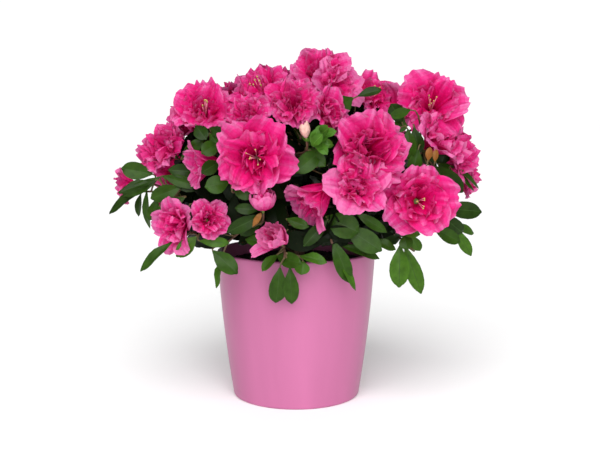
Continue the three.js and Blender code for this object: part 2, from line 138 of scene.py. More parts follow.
# What leaves keep clear of: a blossom's face, half as wide and as far back as these shares of its size and
# so far before it in millimetres, and a few millimetres at the pot's rim and the trunk's foot.
FACE_HALF = 0.48
FACE_BEHIND = 0.2
FACE_BEFORE = 34
RIM_ROOM = 2
OVER_RIM = 1.5
BESIDE_POT = 4

# Studio light: a broad key from the front and above, grey walls that darken to both sides, and a white one
# behind the plant.
KEY_TURN = -5
KEY_LIFT = 46
KEY_SPREAD = 50
KEY_STRENGTH = 2.75
FRONT_WALL = 0.5
SIDE_WALL = 0.22
BACK_WALL = 1.05
SIDE_FADE = (0.5, 0.9)
BACK_FADE = (0.7, 0.92)
FILL_PLACE = (0.2, -1.4, 0.35)
FILL_AIM = (0, 0, 0.2)
FILL_SIZE = 0.8
FILL_POWER = 10
FLOOR_REACH = 6

# Camera: the photograph's frame in pixels, its focal length in pixels, and the camera's place and tilt.
PHOTO_WIDTH = 600
PHOTO_HEIGHT = 450
FOCAL_PIXELS = 1072
SENSOR_WIDTH = 36
CAMERA_PLACE = np.array([3.4, -940, 282])
CAMERA_DOWN = 7.9

# Blossom of the plant's front: the place of its middle, its size, the degrees it faces, its form and, where
# it matters, how far its petals are rolled round its axis.
FRONT_BLOOMS = [
    (-32, -100, 219, 58, -4, 6, "lobed"), (60, -85, 223, 64, 12, 12, "full"),
    (119, -6, 259, 60, 2, 28, "frilled"), (101, -75, 182, 56, 4, 8, "layered"),
    (-76, -40, 256, 54, 4, 42, "frilled"), (-115, -32, 222, 48, -44, 28, "full"),
    (19, 0, 286, 49, -20, 40, "half", 60), (49, -96, 196, 44, 6, 28, "wide", 18),
    (19, -88, 188, 40, -56, -34, "trumpet", 36), (-98, -72, 161, 40, -42, 0, "wide", 54),
    (-70, -80, 167, 31, 20, 12, "half", 20), (144, -8, 213, 48, 60, 4, "full"),
    (34, -14, 274, 42, 38, 26, "wide", 30), (-32, -24, 273, 50, -28, 50, "frilled"),
    (-2, -52, 261, 46, 12, 34, "full"), (-40, -62, 250, 41, -34, 34, "full"),
    (27, -58, 252, 38, 50, 14, "half"), (123, -24, 229, 50, 60, 36, "half"),
    (68, 25, 267, 42, 30, 36, "layered", 30), (94, 32, 258, 42, 130, 50, "half"),
    (152, 12, 193, 38, 80, -4, "half"), (-102, -2, 243, 44, -90, 10, "full"),
    (-150, -2, 186, 31, -90, -8, "half"), (-70, -70, 212, 32, -70, -6, "trumpet"),
]
FRONT_BUDS = [
    (-14, -100, 153, 22, -24, 30, "opening", -100),
    (-26, -97, 182, 18, -6, 74, "closed"),
    (8, -95, 236, 11, -16, 66, "pale"),
]
FRONT_LEAVES = [
    (-136, -30, 184, -84, -4), (-114, -46, 170, -76, -50),
    (-98, -70, 150, -46, -14), (-56, -72, 147, -30, -20),
    (-9, -92, 138, -2, -24), (29, -94, 150, 8, -20),
    (56, -84, 150, 34, -8), (99, -54, 137, 34, -26),
    (132, -46, 166, 50, -20), (134, -12, 190, 96, 4),
    (40, -34, 250, 24, 8), (-60, -60, 225, -46, 26),
    (11, -80, 213, 2, 30), (-51, -84, 190, -20, 8),
]

# Single leaves that show in the photograph, by place. Each has the pixel across and down of its foot and of
# its tip, how far behind the pot's middle both lie (so a minus is in front of it), and the width that shows,
# in millimetres.
SEEN_LEAVES = [
    # Over the rim, left.
    (173, 241, 138, 269, -78, -84, 7), (196, 237, 176, 257, -76, -80, 13),
    (200, 241, 229, 243, -78, -84, 9), (213, 251, 237, 273, -78, -88, 15),
    (222, 258, 215, 288, -66, -72, 6), (215, 216, 214, 196, -60, -62, 12),
    # Under the high flowers, right.
    (402, 122, 391, 104, -20, -24, 14), (404, 120, 396, 132, -14, -22, 12),
    (398, 128, 410, 112, 0, 4, 14), (436, 162, 428, 146, -20, -26, 12),
    (440, 164, 452, 178, -16, -22, 13),
    # Round the opening bud.
    (258, 210, 235, 208, -92, -98, 9), (262, 215, 226, 233, -90, -96, 12),
    (262, 217, 240, 236, -84, -90, 12),
    # Over the front of the rim.
    (277, 255, 261, 269, -80, -90, 8), (280, 268, 276, 306, -84, -86, 15),
    (290, 268, 292, 306, -84, -86, 13), (277, 256, 301, 264, -80, -95, 13),
    (300, 256, 327, 261, -82, -90, 8), (303, 262, 301, 275, -80, -86, 13),
    # Over the rim, right.
    (327, 220, 304, 246, -88, -98, 11), (327, 217, 358, 232, -86, -98, 21),
    (346, 228, 382, 251, -84, -88, 18), (340, 245, 381, 256, -78, -82, 8),
    (372, 240, 397, 248, -62, -66, 8), (333, 240, 351, 285, -84, -88, 14),
    (338, 256, 358, 290, -80, -84, 7), (355, 212, 388, 233, -84, -84, 9),
    # Hanging, right.
    (402, 230, 418, 234, -66, -78, 9), (404, 236, 408, 250, -66, -72, 12),
    (400, 246, 399, 288, -62, -68, 17), (405, 246, 422, 296, -60, -62, 14),
    (411, 236, 421, 252, -58, -60, 9),
    # Right edge.
    (441, 208, 486, 212, -50, -44, 15), (440, 214, 466, 236, -54, -54, 13),
    (434, 228, 462, 243, -56, -52, 12), (456, 229, 472, 257, -44, -40, 10),
    (452, 226, 479, 231, -40, -30, 8), (430, 166, 464, 193, -36, -40, 18),
    (452, 166, 482, 187, -20, -10, 5), (448, 170, 477, 190, -22, -14, 6),
    # Between the flowers, right.
    (408, 130, 410, 160, -50, -56, 13), (436, 166, 422, 150, -14, -18, 13),
    (440, 168, 446, 150, -10, -12, 13), (414, 128, 420, 156, -44, -44, 12),
    (418, 150, 412, 176, -50, -58, 12), (410, 110, 391, 116, -40, -52, 9),
    # Behind the top flowers.
    (352, 98, 332, 113, -30, -44, 16), (330, 84, 327, 103, -20, -30, 11),
    (335, 94, 317, 82, -6, -10, 13), (333, 96, 330, 78, 4, 6, 12),
    (354, 102, 340, 84, 10, 14, 14), (358, 96, 382, 88, -20, -22, 8),
    # Round the young leaves.
    (322, 150, 296, 172, -84, -96, 15), (306, 148, 325, 166, -84, -92, 12),
    # Between the flowers, left.
    (196, 126, 206, 139, -60, -70, 12), (210, 128, 226, 136, -62, -74, 9),
    (210, 134, 224, 152, -64, -78, 11), (217, 144, 202, 153, -74, -84, 13),
    (182, 157, 202, 140, -56, -66, 10), (219, 162, 201, 173, -80, -90, 12),
    (229, 182, 205, 187, -86, -94, 15), (234, 182, 252, 197, -88, -98, 15),
    # Left edge.
    (163, 176, 197, 186, -50, -60, 10), (152, 174, 121, 168, -44, -50, 15),
    (160, 177, 123, 197, -46, -56, 10), (148, 186, 104, 209, -46, -50, 7),
    (180, 187, 150, 199, -54, -60, 14), (184, 198, 158, 211, -58, -64, 12),
    (201, 172, 168, 170, -50, -56, 12), (203, 161, 182, 152, -50, -54, 12),
    (198, 190, 176, 180, -52, -58, 12), (192, 204, 212, 214, -60, -66, 11),
    (147, 190, 143, 231, -46, -46, 7), (141, 194, 136, 217, -40, -40, 6),
    (158, 198, 148, 223, -52, -54, 9),
    # Below the bud and at the left edge.
    (287, 219, 309, 227, -88, -94, 9), (155, 180, 118, 192, -50, -56, 7),
]

# Brown scales of spent buds, in the same way.
SEEN_SCALES = [
    (253, 226, 261, 213, -94, -98, 5),
    (334, 96, 330, 86, -34, -36, 4),
    (428, 160, 430, 147, -52, -56, 6),
    (435, 161, 436, 149, -50, -54, 5),
]

# A single leaf that shows narrower than this is turned aside. One low in the crown mostly gets the
# brightest tint of painted light and else the lit one; a higher one gets painted light or plain green.
NARROWEST_SEEN = 9
BRIGHTLY_LIT_BELOW = 157
BRIGHTLY_LIT_SHARE = 0.66
LIT_SHARE = 0.5

# The whorls of each form of blossom, the outermost first: the number of petals, their length and width as
# shares of the blossom's size, the degrees off its axis where they start and end, how far they ruffle and
# cup, and how much paler than usual they are.
FORMS = {
    "lobed": [
        (5, 0.7, 0.66, 20, 98, 1.1, 0.1, 0.1), (5, 0.6, 0.52, 14, 80, 1.5, 0.15, 0.08),
        (5, 0.46, 0.32, 6, 50, 1.8, 0.4, 0.02),
    ],
    "frilled": [
        (6, 0.68, 0.62, 18, 100, 1, 0.1, 0.1), (6, 0.58, 0.5, 14, 80, 1.3, 0.2, 0.06),
        (6, 0.48, 0.36, 8, 54, 1.6, 0.4, 0),
    ],
    "full": [
        (6, 0.67, 0.6, 20, 102, 1, 0.1, 0.1), (7, 0.6, 0.5, 16, 86, 1.3, 0.2, 0.08),
        (7, 0.53, 0.4, 12, 66, 1.6, 0.3, 0.05), (7, 0.45, 0.32, 4, 44, 1.9, 0.4, 0),
    ],
    "layered": [
        (5, 0.68, 0.68, 22, 98, 0.9, 0.15, 0.12), (5, 0.58, 0.56, 16, 78, 1.1, 0.25, 0.08),
        (5, 0.46, 0.42, 10, 54, 1.3, 0.4, 0),
    ],
    "half": [
        (5, 0.72, 0.62, 24, 88, 0.7, 0.2, 0.18), (6, 0.62, 0.46, 14, 66, 1.2, 0.3, 0.1),
        (5, 0.52, 0.34, 4, 40, 1.6, 0.45, 0),
    ],
    "wide": [
        (5, 0.8, 0.6, 28, 96, 0.6, 0.15, 0.24), (5, 0.62, 0.48, 16, 62, 1.2, 0.3, 0.1),
        (5, 0.5, 0.36, 6, 38, 1.6, 0.45, 0),
    ],
    "trumpet": [
        (5, 1.06, 0.66, 8, 74, 0.7, 0.25, 0.2), (4, 0.8, 0.44, 4, 44, 1.1, 0.45, 0.08),
    ],
    "opening": [
        (5, 1.24, 0.84, 38, -4, 0.8, 0.4, 0.4), (4, 1.15, 0.6, 22, -4, 1.3, 0.5, 0.3),
        (1, 1.2, 0.5, 44, 120, 0.6, 0.3, 0.36),
    ],
    "closed": [
        (6, 1.14, 0.74, 80, -34, 0.3, 0.45, 0.34), (5, 1.1, 0.66, 58, -36, 0.4, 0.4, 0.2),
        (4, 1.04, 0.5, 36, -30, 0.6, 0.3, 0.1),
    ],
    "pale": [
        (5, 1.3, 0.6, 44, -30, 0.5, 0.5, 0.72), (4, 1.42, 0.6, 34, -30, 0.4, 0.6, 0.5),
        (3, 1.4, 0.5, 26, -26, 0.2, 0.6, 0.36),
    ],
}
RULE_FORMS = ["frilled", "full", "full", "layered", "half"]
STAMEN_FORMS = ("lobed", "frilled", "layered", "trumpet")
STAMENS = 6
PALE_LIMIT = 0.84

# Colours as sRGB bytes: petals from the throat to the palest back, in steps, then leaves and brown scales.
PETAL_KEYS = [
    (160, 0, 44), (194, 0, 73), (212, 2, 94), (218, 22, 114),
    (219, 58, 135), (221, 110, 168), (242, 200, 188),
]
PETAL_STEPS = 26
PETAL_NAMES = [f"petal_{step}" for step in range(PETAL_STEPS)]
PETAL_GLOW = 0.34
# Leaf tints: one green in lighter and darker copies; the darkest is painted shade, the lit and brightest are
# painted light.
LEAF_TINTS = {
    "shaded": (11, 19, 6),
    "green": (30, 50, 12),
    "lit": (40, 66, 15),
    "brightly_lit": (55, 88, 22),
    "young": (58, 94, 26),
    "scale": (128, 84, 40),
}
RIB_TINTS = {"rib": (46, 70, 26), "young_rib": (84, 124, 46)}
RIB_OF = {"green": "rib", "lit": "rib", "brightly_lit": "rib", "young": "young_rib"}
GLAZE_COLOUR = (175, 99, 139)
GLAZE_STRETCH = 0.06

# How shiny each is, and its look: the roughness, how far its colour varies, the grain of that and the height
# of its bump in metres, and how much finer the bump's grain is.
PETAL_SHINE = 0.05
# The shine of the leaves that carry painted shade is lower.
SHADED_SHINE = 0.05
LEAF_SHINE = 0.1
RIB_SHINE = 0.15
GLAZE_SHINE = 0.2
GLAZE_COAT = 0.05
PETAL_LOOK = (0.6, 0.1, 0.0045, 0.0013, 2)
LEAF_LOOK = (0.34, 0.2, 0.006, 0.0003, 2)
RIB_LOOK = (0.45, 0.1, 0.006, 0.0002, 2)
GLAZE_LOOK = (0.34, 0.05, 0.03, 0.0002, 0.6)
PLAIN_LOOKS = {
    "calyx": ((104, 128, 56), 0.5, 0.15, 0.004, 0.0002),
    "filament": ((238, 140, 170), 0.5, 0.05, 0.003, 0.0001),
    "anther": ((184, 160, 96), 0.6, 0.12, 0.002, 0.0002),
    "bark": ((84, 62, 46), 0.85, 0.35, 0.005, 0.0014, 1.5),
    "twig_bark": ((84, 54, 38), 0.75, 0.25, 0.004, 0.0005, 1.5),
    "young_bark": ((86, 72, 38), 0.65, 0.3, 0.006, 0.0003, 1.5),
    "peat": ((36, 26, 22), 0.95, 0.4, 0.004, 0.0012, 1.5),
    "crumb": ((56, 40, 32), 0.95, 0.4, 0.003, 0.001, 1.5),
}
FLOOR_LOOK = ((250, 250, 250), 0.8, 0.01, 0.2, 0.0001)
RAMP_ENDS = (0.32, 0.68)


# The random numbers of the solids' rule.
WORD = 2 ** 32
SEED_FACTOR = 2654435761
DRAW_FACTOR = 1664525
DRAW_STEP = 1013904223


def unit(vector):
    return vector / np.linalg.norm(vector)


def heading(turn, lift):
    """The unit vector that a turn and a lift in degrees name."""
    across, up = radians(turn), radians(lift)
    return np.array([cos(up) * sin(across), -cos(up) * cos(across), sin(up)])


def square_to(axis):
    """Two unit vectors square to an axis, in right-handed order with it."""
    helper = np.array([0, 0, 1]) if abs(axis[2]) < 0.9 else np.array([1, 0, 0])
    side = unit(np.cross(helper, axis))
    return side, np.cross(axis, side)


def around(angle, side, up):
    """The unit vector at an angle from the side vector towards the up vector."""
    return np.cos(angle) * side + np.sin(angle) * up


def angle_between(first, second):
    return degrees(acos(np.clip(np.dot(unit(first), unit(second)), -1, 1)))


def seen(pixel, depth):
    """The point that shows at a pixel of the photograph, on the upright plane at a depth."""
    tilt = radians(CAMERA_DOWN)
    aside = (pixel[0] - PHOTO_WIDTH / 2) / FOCAL_PIXELS
    above = (PHOTO_HEIGHT / 2 - pixel[1]) / FOCAL_PIXELS
    ray = np.array([aside, cos(tilt) + above * sin(tilt), above * cos(tilt) - sin(tilt)])
    return CAMERA_PLACE + ray * (depth - CAMERA_PLACE[1]) / ray[1]


class Draws:
    """Even random numbers from 0 to 1 that a seed repeats, the same as the solids' rule draws."""

    def __init__(self, seed):
        self.state = seed * SEED_FACTOR % WORD
        self()
        self()

    def __call__(self):
        self.state = (self.state * DRAW_FACTOR + DRAW_STEP) % WORD
        return self.state / WORD


class Curve:
    """A curve that leaves one point along a direction and reaches another along its own."""

    def __init__(self, start, leaving, end, arriving):
        pull = np.linalg.norm(end - start) / 3
        self.corners = (start, start + leaving * pull, end - arriving * pull, end)

    def point(self, share):
        a, b, c, d = self.corners
        rest = 1 - share
        return rest ** 3 * a + 3 * rest ** 2 * share * b + 3 * rest * share ** 2 * c + share ** 3 * d

    def points(self, steps):
        return [self.point(k / steps) for k in range(steps + 1)]

    def way(self, share):
        return unit(self.point(min(share + 0.01, 1)) - self.point(max(share - 0.01, 0)))


# The rule of the crown.


def inside_dome(way, share):
    return CROWN_MIDDLE + way * share * (1 / np.linalg.norm(way / CROWN_HALF))


def flower(x, y, z, size, turn, lift, form=None, roll=0):
    return {
        "kind": "bloom" if size > BUD_LIMIT else "bud",
        "place": np.array([x, y, z], float),
        "size": size,
        "facing": heading(turn, lift),
        "form": form,
        "roll": radians(roll),
    }


def leafy(x, y, z, turn, lift):
    return {**flower(x, y, z, 0, turn, lift), "kind": "leaves"}


def layer(count, spacing, taken, make_shoot):
    """Shoots from the top down in golden turns that keep their spacing to those taken."""
    lowest = sin(radians(LOWEST_LIFT))
    added = []
    for k in range(count):
        lift = degrees(asin(1 - (k + 0.5) / count * (1 - lowest)))
        turn = (k * GOLDEN_TURN) % 360 - 180
        way = heading(turn, lift)
        if not any(angle_between(way, s["place"] - CROWN_MIDDLE) < spacing for s in taken + added):
            added.append(make_shoot(turn, lift, way, Draws(k + count)))
    return added


def outer_shoot(turn, lift, way, draw):
    face_turn = turn + 40 * (draw() - 0.5)
    face_lift = min(lift * 0.8 + 8 + 30 * (draw() - 0.5), 84)
    if abs(turn) > FRONT_HALF and lift > LOWEST_BLOOM and draw() < BLOOM_SHARE:
        place = inside_dome(way, 0.95 + 0.1 * draw())
        return flower(*place, 38 + 18 * draw(), face_turn, face_lift)
    return leafy(*inside_dome(way, 0.82 + 0.14 * draw()), face_turn, face_lift)


def inner_shoot(turn, lift, way, draw):
    return leafy(*inside_dome(way, INNER_DEPTH), turn + 60 * (draw() - 0.5), lift + 10)


def base_of(shoot):
    return shoot["place"] - BASE_DEPTH * shoot["size"] * shoot["facing"]


def crown_shoots():
    """Every shoot of the rule, with its base and its own random numbers."""
    front = [flower(*row) for row in FRONT_BLOOMS + FRONT_BUDS] + [leafy(*row) for row in FRONT_LEAVES]
    outer = front + layer(OUTER_SHOOTS, OUTER_SPACING, front, outer_shoot)
    shoots = outer + layer(INNER_SHOOTS, 0, [], inner_shoot)
    for number, shoot in enumerate(shoots):
        shoot["number"] = number
        shoot["base"] = base_of(shoot)
        shoot["draw"] = Draws(number + 1)
        shoot["phase"] = 2 * pi * shoot["draw"]()
        shoot["whorls"] = WHORLS[shoot["kind"]]
        shoot["dice"] = np.random.default_rng(number)
        if shoot["form"] is None and shoot["kind"] == "bloom":
            shoot["form"] = RULE_FORMS[number % len(RULE_FORMS)]
    return shoots


def crown_masses():
    masses = []
    for group, (count, lift, fork, rise) in GROUPS.items():
        for k in range(count):
            masses.append({
                "name": f"{group}_{k + 1}" if count > 1 else group,
                "group": group,
                "way": heading(180 / count - 180 + k * 360 / count, lift),
                "fork": fork + k * rise,
            })
    return masses


def trunk_point(share):
    return np.array([TRUNK_LEAN * share ** 2, 0.0, TRUNK_FOOT + TRUNK_HEIGHT * share])


def trunk_radius(share):
    flare = 1 + (ROOT_FLARE - 1) * exp(-9 * share)
    return (TRUNK_RADIUS + (TRUNK_TIP_RADIUS - TRUNK_RADIUS) * share) * flare


def bough_curve(mass):
    end = inside_dome(mass["way"], BOUGH_END)
    start = trunk_point(mass["fork"])
    leaving = end - start
    leaving[2] *= 0.4 if mass["fork"] < 1 else 1
    return Curve(start, unit(leaving), end, mass["way"])


def stem_curve(mass):
    way = mass["way"]
    return Curve(inside_dome(way, BOUGH_END), way, inside_dome(way, STEM_END), way)


def grow_twigs(masses, shoots):
    """Gives each shoot its mass and the curve of its twig, the widest from the stem first."""
    for shoot in shoots:
        away = [angle_between(mass["way"], shoot["place"] - CROWN_MIDDLE) for mass in masses]
        shoot["mass"] = masses[int(np.argmin(away))]
        shoot["away"] = min(away)
    for mass in masses:
        own = sorted((s for s in shoots if s["mass"] is mass), key=lambda s: -s["away"])
        stem = stem_curve(mass)
        for k, shoot in enumerate(own):
            root = stem.point(0.1 + 0.85 * k / len(own))
            foot = shoot["base"] - shoot["facing"] * shoot["whorls"] * LEAF_STEP
            leaving = unit(unit(foot - root) + mass["way"])
            shoot["foot"] = foot
            shoot["curve"] = Curve(root, leaving, foot, shoot["facing"])


# Meshes.


def add_object(name, data):
    made = bpy.data.objects.new(name, data)
    bpy.context.scene.collection.objects.link(made)
    return made


class Pile:
    """Points and faces of one kind of thing, gathered until they become one piece."""

    def __init__(self, tints):
        self.tints = list(tints)
        self.points = []
        self.faces = []
        self.colours = []
        self.count = 0

    def add(self, points, faces, colours):
        """Adds points and faces, with one tint's name for all of them or the number of each face's tint."""
        if isinstance(colours, str):
            colours = [self.tints.index(colours)] * len(faces)
        self.points.append(points)
        self.faces.extend([tuple(self.count + corner for corner in face) for face in faces])
        self.colours.extend(colours)
        self.count += len(points)

    def piece(self, name, materials):
        mesh = bpy.data.meshes.new(name)
        points = np.concatenate(self.points) * MM
        mesh.from_pydata(points.tolist(), [], self.faces)
        for tint in self.tints:
            mesh.materials.append(materials[tint])
        mesh.polygons.foreach_set("material_index", self.colours)
        mesh.polygons.foreach_set("use_smooth", [True] * len(self.faces))
        mesh.update()
        made = add_object(name, mesh)
        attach(made, "root")
        return made


def grid_faces(rows, columns):
    """The faces of a sheet of points that is rows long and columns wide."""
    return [
        (r * columns + c, r * columns + c + 1, (r + 1) * columns + c + 1, (r + 1) * columns + c)
        for r in range(rows - 1)
        for c in range(columns - 1)
    ]


def frames_along(points):
    """Each point with two unit vectors square to the way there, which don't twist along it."""
    side, _ = square_to(unit(points[1] - points[0]))
    for k, point in enumerate(points):
        ahead = unit(points[min(k + 1, len(points) - 1)] - points[max(k - 1, 0)])
        side = unit(side - ahead * np.dot(side, ahead))
        yield point, side, np.cross(ahead, side)


def add_rings(pile, rings, sides, tint):
    """Joins rings of points, each of so many sides, to a tube with closed ends."""
    points = np.concatenate(rings)
    last = len(points) - sides
    faces = []
    for low in range(0, last, sides):
        high = low + sides
        for k in range(sides):
            after = (k + 1) % sides
            faces.append((low + k, low + after, high + after, high + k))
    faces.append(tuple(reversed(range(sides))))
    faces.append(tuple(range(last, last + sides)))
    pile.add(points, faces, tint)


def tube(pile, points, radii, sides, tint):
    angles = 2 * pi * np.arange(sides) / sides
    rings = []
    for radius, (point, side, up) in zip(radii, frames_along(np.asarray(points, float))):
        rings.append(point + radius * (np.outer(np.cos(angles), side) + np.outer(np.sin(angles), up)))
    add_rings(pile, rings, sides, tint)


def sheet(base, axis, radial, length, rows, half, across, bend, rounding, lift, twist=0.0, fringe=0.0):
    """A curved sheet of points. Its middle line leaves the base at an angle off the axis towards the radial
    vector and ends at another, as bend says. Rows lie along it, columns across it, and the sheet is lifted
    towards its inner side."""
    start, end = bend
    along = rows * (1 - rounding * np.abs(across[None, :]) ** 2.6) + fringe * rows ** 4
    line = np.linspace(0, 1.2, 49)
    turn = start + (end - start) * np.clip(line, 0, 1) ** 1.3
    step = length * line[1]
    rise = np.concatenate([[0], np.cumsum(np.cos(turn[:-1]))]) * step
    out = np.concatenate([[0], np.cumsum(np.sin(turn[:-1]))]) * step
    here = np.interp(along, line, turn)[..., None]
    middle = base + np.interp(along, line, rise)[..., None] * axis
    middle = middle + np.interp(along, line, out)[..., None] * radial
    inner = np.sin(here) * axis - np.cos(here) * radial
    side = np.cross(axis, radial)
    turned = np.cos(twist * along)[..., None] * side + np.sin(twist * along)[..., None] * inner
    return middle + turned * (half[:, None] * across[None, :])[..., None] + inner * lift[..., None]


class PetalGrid:
    """The rows and columns of a petal, and its outline: a narrow foot that widens to a round end."""

    def __init__(self, rows, columns):
        self.along = np.linspace(0, 1, rows)[:, None] ** 0.9
        self.across = np.linspace(-1, 1, columns)
        self.faces = grid_faces(rows, columns)
        widening = np.sin(pi / 2 * np.minimum(self.along[:, 0] / 0.72, 1)) ** 1.2
        narrowing = 1 - 0.32 * (np.maximum(self.along[:, 0] - 0.72, 0) / 0.28) ** 2
        self.outline = (0.16 + 0.84 * widening) * np.sqrt(narrowing)


FINE_PETAL = PetalGrid(11, 25)
PLAIN_PETAL = PetalGrid(8, 17)

# Ruffles of a petal: broad ones, fine ones, those of its edge and the veins. Each has its height as a share
# of the blossom's size, and the pitch and depth of its waves.
BROAD = 0.05
BROAD_WAVES = ((3.2, 1), (6.3, 1), (11.5, 0.7))
FINE = 0.019
FINE_WAVES = ((14, 1), (20, 0.7))
EDGE = 0.018
EDGE_WAVES = ((5, 1.3), (10, 0.8), (18, 0.65))
VEINS = 0.06
VEIN_WAVES = ((9, 1), (17, 0.7))


def waves(across, pitches, dice):
    return sum(
        depth * np.sin(pitch * across * dice.uniform(0.85, 1.15) + dice.uniform(0, 2 * pi))
        for pitch, depth in pitches
    )


def petal(pile, grid, base, axis, radial, size, whorl, dice):
    """One ruffled petal, deep at its foot and light at its edge."""
    _, long, wide, start, end, ruffle, cup, paler = whorl
    along, across = grid.along, grid.across
    half = size * wide / 2 * dice.uniform(0.88, 1.12) * grid.outline
    outer = along ** 1.5 * (0.55 + 0.45 * np.abs(across) ** 1.5)
    lift = BROAD * size * ruffle * outer * waves(across, BROAD_WAVES, dice)
    lift = lift + FINE * size * ruffle * along ** 3 * waves(across, FINE_WAVES, dice)
    lift = lift + cup * half[:, None] * across ** 2
    lift = lift + 0.014 * size * along * np.sin(8 * along + dice.uniform(0, 6) + 3 * across)
    length = size * long * dice.uniform(0.9, 1.1)
    leaving = radians(start + 6 * ruffle * dice.uniform(-1, 1))
    arriving = radians(end + 14 * ruffle * dice.uniform(-1, 1))
    twist = 0.35 * ruffle * dice.uniform(-1, 1)
    fringe = EDGE * ruffle * waves(across, EDGE_WAVES, dice)[None, :]
    bend = (leaving, arriving)
    points = sheet(base, axis, radial, length, along, half, across, bend, 0.16, lift, twist, fringe)
    middle = (along[:-1] + along[1:]) / 2
    rim = ((across[:-1] + across[1:]) / 2) ** 2
    veins = VEINS * waves(across[:-1], VEIN_WAVES, dice)
    tone = paler + dice.uniform(-0.06, 0.06) + 0.06 + 0.48 * middle ** 0.8
    tone = tone + (veins + 0.1 * rim) * middle + 0.12 * middle ** 8
    tone = tone + dice.uniform(-0.02, 0.02, (len(along) - 1, len(across) - 1))
    palest = PETAL_STEPS - 1 if paler > PALE_LIMIT / 2 else PALE_LIMIT * PETAL_STEPS
    colours = np.clip(np.rint(tone * PETAL_STEPS), 0, int(palest)).astype(int)
    pile.add(points.reshape(-1, 3), grid.faces, colours.ravel().tolist())


def blossom(pile, shoot):
    """A blossom or bud: its whorls of petals, its calyx and, where they show, its stamens."""
    base, axis, size, dice = shoot["base"], shoot["facing"], shoot["size"], shoot["dice"]
    side, up = square_to(axis)
    start = shoot["phase"] + shoot["roll"]
    grid = FINE_PETAL if shoot["number"] < len(FRONT_BLOOMS) else PLAIN_PETAL
    for whorl in FORMS[shoot["form"]]:
        count = whorl[0]
        for k in range(count):
            angle = start + 2 * pi * k / count + 0.16 * whorl[5] * dice.uniform(-1, 1)
            radial = around(angle, side, up)
            petal(pile, grid, base + axis * 1.5 + radial * 0.03 * size, axis, radial, size, whorl, dice)
        start += pi / count + dice.uniform(0, 0.5)
    wide = 0.045 * size
    calyx = [base - axis, base + axis, base + axis * 3.4, base + axis * 4.4]
    tube(pile, calyx, [0.9, wide + 0.4, wide + 0.9, 0.7 * wide], 9, "calyx")
    if shoot["form"] in STAMEN_FORMS:
        for _ in range(STAMENS):
            stamen(pile, base, axis, size, around(dice.uniform(0, 2 * pi), side, up), dice)


def stamen(pile, base, axis, size, outward, dice):
    """A stamen out of the throat: a thin filament with an anther on its tip."""
    out = outward * dice.uniform(0.03, 0.13) * size
    top = base + axis * size * dice.uniform(0.44, 0.58) + out
    curve = Curve(base + axis * 2, axis, top, unit(axis + 0.02 * out))
    tube(pile, curve.points(4), [0.32] * 5, 4, "filament")
    anther = [top + axis * rise for rise in (-0.4, 0, 1.3, 1.8)]
    tube(pile, anther, [0.4, 0.7, 0.7, 0.3], 5, "anther")


LEAF_ALONG = np.array([0.0, 0.12, 0.28, 0.46, 0.62, 0.76, 0.87, 0.95, 0.99, 1.0])
LEAF_ACROSS = np.array([-1.0, -0.55, -0.03, 0.03, 0.55, 1.0])
LEAF_FACES = grid_faces(len(LEAF_ALONG), len(LEAF_ACROSS))
LEAF_WIDEST = 0.56
LEAF_OUTLINE = np.where(
    LEAF_ALONG < LEAF_WIDEST,
    0.06 + 0.94 * np.sin(pi / 2 * LEAF_ALONG / LEAF_WIDEST) ** 1.25,
    np.sqrt(np.maximum(1 - 0.985 * ((LEAF_ALONG - LEAF_WIDEST) / (1 - LEAF_WIDEST)) ** 2.1, 0)),
)


def leaf(pile, root, way, upper, length, width, tone, dice):
    """One leaf blade, narrow at its foot and widest past its middle. Unless it has the darkest tint, painted
    shade, or is a scale, its rib is paler."""
    way = unit(way)
    upper = unit(upper - way * np.dot(upper, way))
    half = width / 2 * LEAF_OUTLINE
    fold = dice.uniform(0.12, 0.42)
    wave = dice.uniform(0.0, 0.04) * length
    rows = LEAF_ALONG[:, None]
    lift = wave * np.sin(9 * rows + 3 * LEAF_ACROSS) * LEAF_ACROSS ** 2
    lift = lift + fold * half[:, None] * np.abs(LEAF_ACROSS)
    curl = dice.uniform(0.1, 0.75)
    twist = dice.uniform(-0.3, 0.3)
    points = sheet(root, way, -upper, length, rows, half, LEAF_ACROSS, (0.0, curl), 0.05, lift, twist)
    plain = pile.tints.index(tone)
    rib = pile.tints.index(RIB_OF.get(tone, tone))
    colours = [plain, plain, rib, plain, plain] * (len(LEAF_ALONG) - 1)
    pile.add(points.reshape(-1, 3), LEAF_FACES, colours)


def opened(axis, outward, opening):
    """The way that a leaf points, so many degrees off an axis, and its upper side."""
    spread = radians(opening)
    way = cos(spread) * axis + sin(spread) * outward
    return way, sin(spread) * axis - cos(spread) * outward


class Room:
    """What leaves keep clear of: the faces of the blossom, the pot and the trunk."""

    def __init__(self, blooms):
        self.places, self.facings, self.sizes = (
            np.array([shoot[key] for shoot in blooms]) for key in ("place", "facing", "size")
        )

    def holds(self, points):
        points = np.asarray(points)
        off = points[:, None, :] - self.places[None, :, :]
        along = (off * self.facings).sum(2)
        aside = np.linalg.norm(off - along[..., None] * self.facings, axis=2)
        before = (along > -FACE_BEHIND * self.sizes) & (along < FACE_BEFORE)
        if (before & (aside < FACE_HALF * self.sizes)).any():
            return False
        radius = np.hypot(points[:, 0], points[:, 1])
        height = points[:, 2]
        at_rim = (radius > POT_TOP_RADIUS - POT_WALL - RIM_ROOM) & (radius < POT_TOP_RADIUS + RIM_ROOM)
        if (at_rim & (height < POT_HEIGHT + OVER_RIM)).any():
            return False
        low = (height < TRUNK_FOOT + RIM_ROOM).any()
        return not low or bool((radius > POT_TOP_RADIUS + BESIDE_POT).all())


